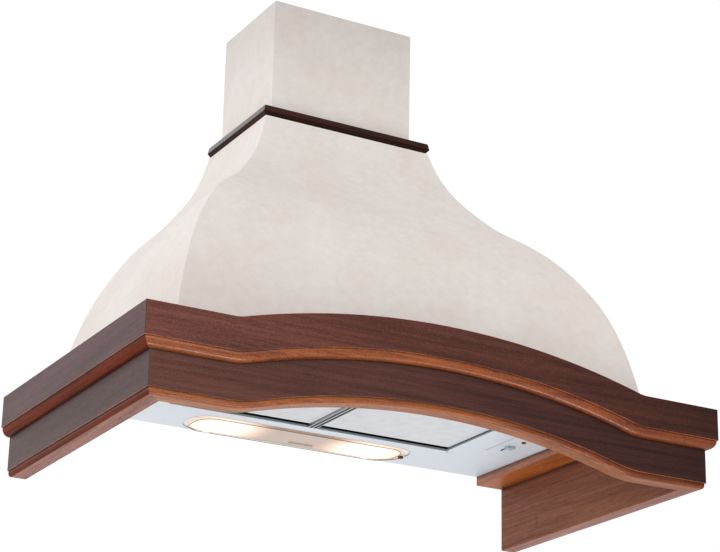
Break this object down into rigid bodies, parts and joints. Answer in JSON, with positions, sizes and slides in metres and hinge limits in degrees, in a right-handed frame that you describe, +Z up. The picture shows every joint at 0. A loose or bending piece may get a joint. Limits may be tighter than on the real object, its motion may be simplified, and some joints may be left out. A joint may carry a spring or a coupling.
{
  "type": "wall range hood cover",
  "caption": "Wall range hood with an arched dark wooden frame, cream ogee body and square chimney round a steel extractor insert with filters, lamp, switches and blower.",
  "frame": {"origin": "midway between the two fixing holes of the hanging rail, on the wall face", "axes": "+X along the wall to the hood's right as seen from the room, +Y into the wall, +Z up"},
  "size_m": [0.9, 0.51, 0.7706],
  "materials": {
    "walnut": "dark stained hardwood, satin lacquer",
    "cream": "antiqued off-white paint on bent plywood",
    "plywood": "birch plywood, unfinished",
    "pale_enamel": "pale blue-grey powder coat, semi-gloss",
    "galvanised": "galvanised steel sheet",
    "mesh": "layered expanded aluminium mesh",
    "filter_rim": "satin aluminium frame",
    "steel": "bright steel",
    "lamp_cover": "diffusing clear plastic",
    "lamp_glass": "frosted bulb",
    "dark_plastic": "moulded black ABS",
    "motor_enamel": "black enamelled motor case",
    "grey_plastic": "moulded grey ABS",
    "white_plastic": "moulded white plastic",
    "pilot_red": "red translucent lens"
  },
  "bodies": {
    "hood": {"base_board_front": "walnut", "base_board_left": "walnut", "base_board_right": "walnut", "body_front": "cream", "body_left": "cream", "body_right": "cream", "cable_gland": "dark_plastic", "chimney_battens": "plywood", "chimney_front": "cream", "chimney_left": "cream", "chimney_right": "cream", "chimney_wall_bracket": "galvanised", "control_box": "grey_plastic", "control_strip": "pale_enamel", "cornice_front": "walnut", "cornice_left": "walnut", "cornice_right": "walnut", "damper_pins": "steel", "deck_front": "walnut", "deck_left": "walnut", "deck_right": "walnut", "duct_collar": "galvanised", "filter_divider": "pale_enamel", "hanging_rail": "plywood", "hip_rib_left": "plywood", "hip_rib_right": "plywood", "insert_brackets": "galvanised", "insert_casing": "galvanised", "insert_plate": "pale_enamel", "lamp_bulbs": "lamp_glass", "lamp_hinge_pins": "steel", "lamp_tray": "galvanised", "lampholders": "white_plastic", "mitre_splines": "plywood", "motor": "motor_enamel", "motor_bracket": "galvanised", "neck_board": "plywood", "pilot_lamp": "pilot_red", "rail_screws": "steel", "scroll_housing": "galvanised", "terminal_box": "grey_plastic", "trim_front": "walnut", "trim_left": "walnut", "trim_right": "walnut", "wall_rib_left": "plywood", "wall_rib_right": "plywood"},
    "filter_left": {"filter_frame_left": "filter_rim", "filter_mesh_left": "mesh"},
    "latch_left": {"filter_latch_left": "dark_plastic"},
    "filter_right": {"filter_frame_right": "filter_rim", "filter_mesh_right": "mesh"},
    "latch_right": {"filter_latch_right": "dark_plastic"},
    "lamp_cover": {"lamp_lens": "lamp_cover"},
    "cover_knob": {"lamp_knob": "dark_plastic"},
    "speed_switch": {"speed_slider": "grey_plastic"},
    "light_switch": {"light_slider": "grey_plastic"},
    "fan": {"impeller": "dark_plastic", "motor_shaft": "steel"},
    "damper_front": {"damper_flap_front": "galvanised"},
    "damper_rear": {"damper_flap_rear": "galvanised"}
  },
  "joints": [
    {"name": "filter_left_swing", "type": "hinge", "parent": "hood", "child": "filter_left", "pos_m": [0, -0.1104, -0.2435], "axis": [1, 0, 0], "range_deg": [0, 70]},
    {"name": "latch_left_slide", "type": "slide", "parent": "filter_left", "child": "latch_left", "axis": [0, 1, 0], "range_m": [0, 0.005], "stiffness_N_per_m": 200, "springref_m": -0.002},
    {"name": "filter_right_swing", "type": "hinge", "parent": "hood", "child": "filter_right", "pos_m": [0, -0.1104, -0.2435], "axis": [1, 0, 0], "range_deg": [0, 70]},
    {"name": "latch_right_slide", "type": "slide", "parent": "filter_right", "child": "latch_right", "axis": [0, 1, 0], "range_m": [0, 0.005], "stiffness_N_per_m": 200, "springref_m": -0.002},
    {"name": "lamp_cover_swing", "type": "hinge", "parent": "hood", "child": "lamp_cover", "pos_m": [0.01, -0.006, -0.2525], "axis": [1, 0, 0], "range_deg": [0, 75]},
    {"name": "cover_knob_turn", "type": "hinge", "parent": "lamp_cover", "child": "cover_knob", "pos_m": [0.191, -0.0434, -0.2525], "axis": [0, 0, 1], "range_deg": [0, 90]},
    {"name": "speed_slide", "type": "slide", "parent": "hood", "child": "speed_switch", "axis": [0, 1, 0], "range_m": [0, 0.024]},
    {"name": "light_slide", "type": "slide", "parent": "hood", "child": "light_switch", "axis": [0, 1, 0], "range_m": [0, 0.008]},
    {"name": "fan_spin", "type": "hinge", "parent": "hood", "child": "fan", "pos_m": [0, -0.14, -0.055], "axis": [1, 0, 0], "continuous": true},
    {"name": "damper_front_swing", "type": "hinge", "parent": "hood", "child": "damper_front", "pos_m": [0, -0.0904, 0.0735], "axis": [-1, 0, 0], "range_deg": [0, 80]},
    {"name": "damper_rear_swing", "type": "hinge", "parent": "hood", "child": "damper_rear", "pos_m": [0, -0.0856, 0.0735], "axis": [1, 0, 0], "range_deg": [0, 80]}
  ]
}
